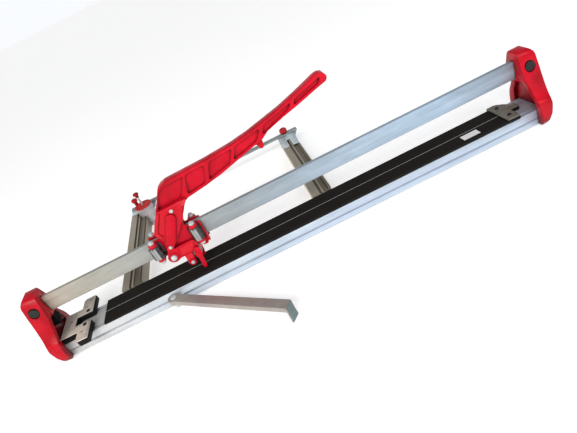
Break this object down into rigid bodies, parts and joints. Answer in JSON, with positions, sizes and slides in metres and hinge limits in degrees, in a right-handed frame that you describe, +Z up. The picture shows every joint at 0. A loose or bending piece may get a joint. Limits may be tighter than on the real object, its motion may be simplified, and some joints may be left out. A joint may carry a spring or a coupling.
{
  "type": "manual tile cutter",
  "caption": "Manual tile cutter with guide rail, lever trolley with cutting wheel, padded base, folding rear support frame and front swing arm.",
  "frame": {"origin": "middle of the rubber strip's underside, on the surface that the cutter stands on", "axes": "+X along the guide rail to the right as the operator sees it, -Y towards the operator, +Z up"},
  "size_m": [1.006, 0.6099, 0.2645],
  "materials": {
    "red_paint": "gloss red powder coat",
    "red_plastic": "satin red moulding",
    "base_aluminium": "bright satin, extruded",
    "rail_aluminium": "brushed satin",
    "arm_aluminium": "satin, warm grey",
    "bar_steel": "brushed",
    "steel_plate": "satin warm grey",
    "zinc": "zinc plated",
    "chrome": "polished",
    "black_steel": "black oxide",
    "black_plastic": "matte",
    "grey_clear": "milky translucent grey",
    "lens_glass": "dark red lens",
    "rubber": "matte ribbed"
  },
  "bodies": {
    "base": {"base_extrusion": "base_aluminium", "base_rubber_strip": "rubber", "pad_near": "rubber", "pad_far": "rubber", "centre_strip": "zinc", "bracket_left": "red_paint", "bracket_right": "red_paint", "guide_rail": "rail_aluminium", "rail_bolt_left": "black_steel", "rail_bolt_right": "black_steel", "fence_block": "black_plastic", "fence_plate": "steel_plate", "fence_screw_near": "black_steel", "fence_screw_far": "black_steel", "stop_block": "black_plastic", "stop_plate": "steel_plate", "stop_screw_near": "black_steel", "stop_screw_far": "black_steel", "laser_housing": "black_plastic", "laser_lens": "lens_glass", "swing_arm_lug": "zinc", "swing_arm_bolt": "zinc", "arm_hinge_left": "zinc", "arm_hinge_right": "zinc"},
    "laser_switch": {"laser_switch": "black_plastic"},
    "swing_arm": {"swing_arm": "zinc"},
    "arm_left": {"arm_left": "arm_aluminium", "arm_plate_left": "zinc", "foot_sleeve": "grey_clear", "foot_flange": "red_plastic"},
    "foot_thumbscrew": {"foot_thumbscrew": "red_plastic"},
    "bar_knob_left": {"bar_knob_left": "red_plastic"},
    "arm_right": {"arm_right": "arm_aluminium", "arm_plate_right": "zinc"},
    "bar_knob_right": {"bar_knob_right": "red_plastic"},
    "cross_bar": {"cross_bar": "bar_steel"},
    "trolley": {"trolley_plate_front": "red_paint", "trolley_plate_rear": "red_paint", "trolley_bridge": "red_paint", "pivot_bolt": "zinc", "roller_bolt_front_left": "zinc", "roller_bolt_front_right": "zinc", "roller_bolt_rear_left": "zinc", "roller_bolt_rear_right": "zinc"},
    "lever": {"lever": "red_paint", "lever_cover": "red_paint", "cover_screw_top": "zinc", "cover_screw_bottom": "zinc", "wheel_carrier": "red_paint", "wheel_axle": "zinc", "breaker_foot": "red_paint"},
    "cutting_wheel": {"cutting_wheel": "chrome"},
    "guide_roller_front_left": {"guide_roller_front_left": "chrome"},
    "guide_roller_front_right": {"guide_roller_front_right": "chrome"},
    "guide_roller_rear_left": {"guide_roller_rear_left": "chrome"},
    "guide_roller_rear_right": {"guide_roller_rear_right": "chrome"},
    "top_roller_left": {"top_roller_left": "chrome"},
    "top_roller_right": {"top_roller_right": "chrome"},
    "press_roller_left": {"press_roller_left": "chrome"},
    "press_roller_right": {"press_roller_right": "chrome"}
  },
  "joints": [
    {"name": "trolley_slide", "type": "slide", "parent": "base", "child": "trolley", "axis": [1, 0, 0], "range_m": [-0.203, 0.602]},
    {"name": "lever_pivot", "type": "hinge", "parent": "trolley", "child": "lever", "pos_m": [-0.225, 0, 0.0825], "axis": [0, -1, 0], "range_deg": [-3, 12]},
    {"name": "cutting_wheel_spin", "type": "hinge", "parent": "lever", "child": "cutting_wheel", "pos_m": [-0.203, 0, 0.051], "axis": [0, 1, 0], "continuous": true},
    {"name": "guide_roller_front_left_spin", "type": "hinge", "parent": "trolley", "child": "guide_roller_front_left", "pos_m": [-0.245, -0.0158, 0.107], "axis": [0, 0, 1], "continuous": true},
    {"name": "guide_roller_front_right_spin", "type": "hinge", "parent": "trolley", "child": "guide_roller_front_right", "pos_m": [-0.165, -0.0158, 0.107], "axis": [0, 0, 1], "continuous": true},
    {"name": "guide_roller_rear_left_spin", "type": "hinge", "parent": "trolley", "child": "guide_roller_rear_left", "pos_m": [-0.245, 0.0158, 0.107], "axis": [0, 0, 1], "continuous": true},
    {"name": "guide_roller_rear_right_spin", "type": "hinge", "parent": "trolley", "child": "guide_roller_rear_right", "pos_m": [-0.165, 0.0158, 0.107], "axis": [0, 0, 1], "continuous": true},
    {"name": "top_roller_left_spin", "type": "hinge", "parent": "trolley", "child": "top_roller_left", "pos_m": [-0.22, 0, 0.1317], "axis": [0, 1, 0], "continuous": true},
    {"name": "top_roller_right_spin", "type": "hinge", "parent": "trolley", "child": "top_roller_right", "pos_m": [-0.186, 0, 0.1317], "axis": [0, 1, 0], "continuous": true},
    {"name": "press_roller_left_spin", "type": "hinge", "parent": "trolley", "child": "press_roller_left", "pos_m": [-0.225, 0, 0.0825], "axis": [0, 1, 0], "continuous": true},
    {"name": "press_roller_right_spin", "type": "hinge", "parent": "trolley", "child": "press_roller_right", "pos_m": [-0.163, 0, 0.0825], "axis": [0, 1, 0], "continuous": true},
    {"name": "swing_arm_pivot", "type": "hinge", "parent": "base", "child": "swing_arm", "pos_m": [-0.256, -0.0585, 0.028], "axis": [0, 0, 1], "range_deg": [-55, 38]},
    {"name": "arm_left_fold", "type": "hinge", "parent": "base", "child": "arm_left", "pos_m": [-0.348, 0.065, 0.012], "axis": [0, 0, 1], "range_deg": [-84, 0]},
    {"name": "arm_right_fold", "type": "hinge", "parent": "base", "child": "arm_right", "pos_m": [0.073, 0.065, 0.012], "axis": [0, 0, 1], "range_deg": [-84, 0]},
    {"name": "cross_bar_pivot", "type": "hinge", "parent": "arm_right", "child": "cross_bar", "pos_m": [0.073, 0.378, 0.0387], "axis": [0, 0, 1], "range_deg": [0, 84]},
    {"name": "bar_knob_left_turn", "type": "hinge", "parent": "arm_left", "child": "bar_knob_left", "pos_m": [-0.348, 0.378, 0.05], "axis": [0, 0, 1], "continuous": true},
    {"name": "bar_knob_right_turn", "type": "hinge", "parent": "arm_right", "child": "bar_knob_right", "pos_m": [0.073, 0.378, 0.05], "axis": [0, 0, 1], "continuous": true},
    {"name": "foot_thumbscrew_turn", "type": "hinge", "parent": "arm_left", "child": "foot_thumbscrew", "pos_m": [-0.325, 0.342, 0.05], "axis": [0, 0, 1], "continuous": true},
    {"name": "laser_switch_press", "type": "slide", "parent": "base", "child": "laser_switch", "axis": [-1, 0, 0], "range_m": [0, 0.002], "stiffness_N_per_m": 300}
  ],
  "couplings": [
    {"joint": "guide_roller_front_left_spin", "follows": "trolley_slide", "rad_per_m": 90.909},
    {"joint": "guide_roller_front_right_spin", "follows": "trolley_slide", "rad_per_m": 90.909},
    {"joint": "guide_roller_rear_left_spin", "follows": "trolley_slide", "rad_per_m": -90.909},
    {"joint": "guide_roller_rear_right_spin", "follows": "trolley_slide", "rad_per_m": -90.909},
    {"joint": "top_roller_left_spin", "follows": "trolley_slide", "rad_per_m": 128.21},
    {"joint": "top_roller_right_spin", "follows": "trolley_slide", "rad_per_m": 128.21},
    {"joint": "press_roller_left_spin", "follows": "trolley_slide", "rad_per_m": -128.21},
    {"joint": "press_roller_right_spin", "follows": "trolley_slide", "rad_per_m": -128.21},
    {"joint": "arm_right_fold", "follows": "arm_left_fold", "ratio": 1},
    {"joint": "cross_bar_pivot", "follows": "arm_left_fold", "ratio": -1}
  ]
}
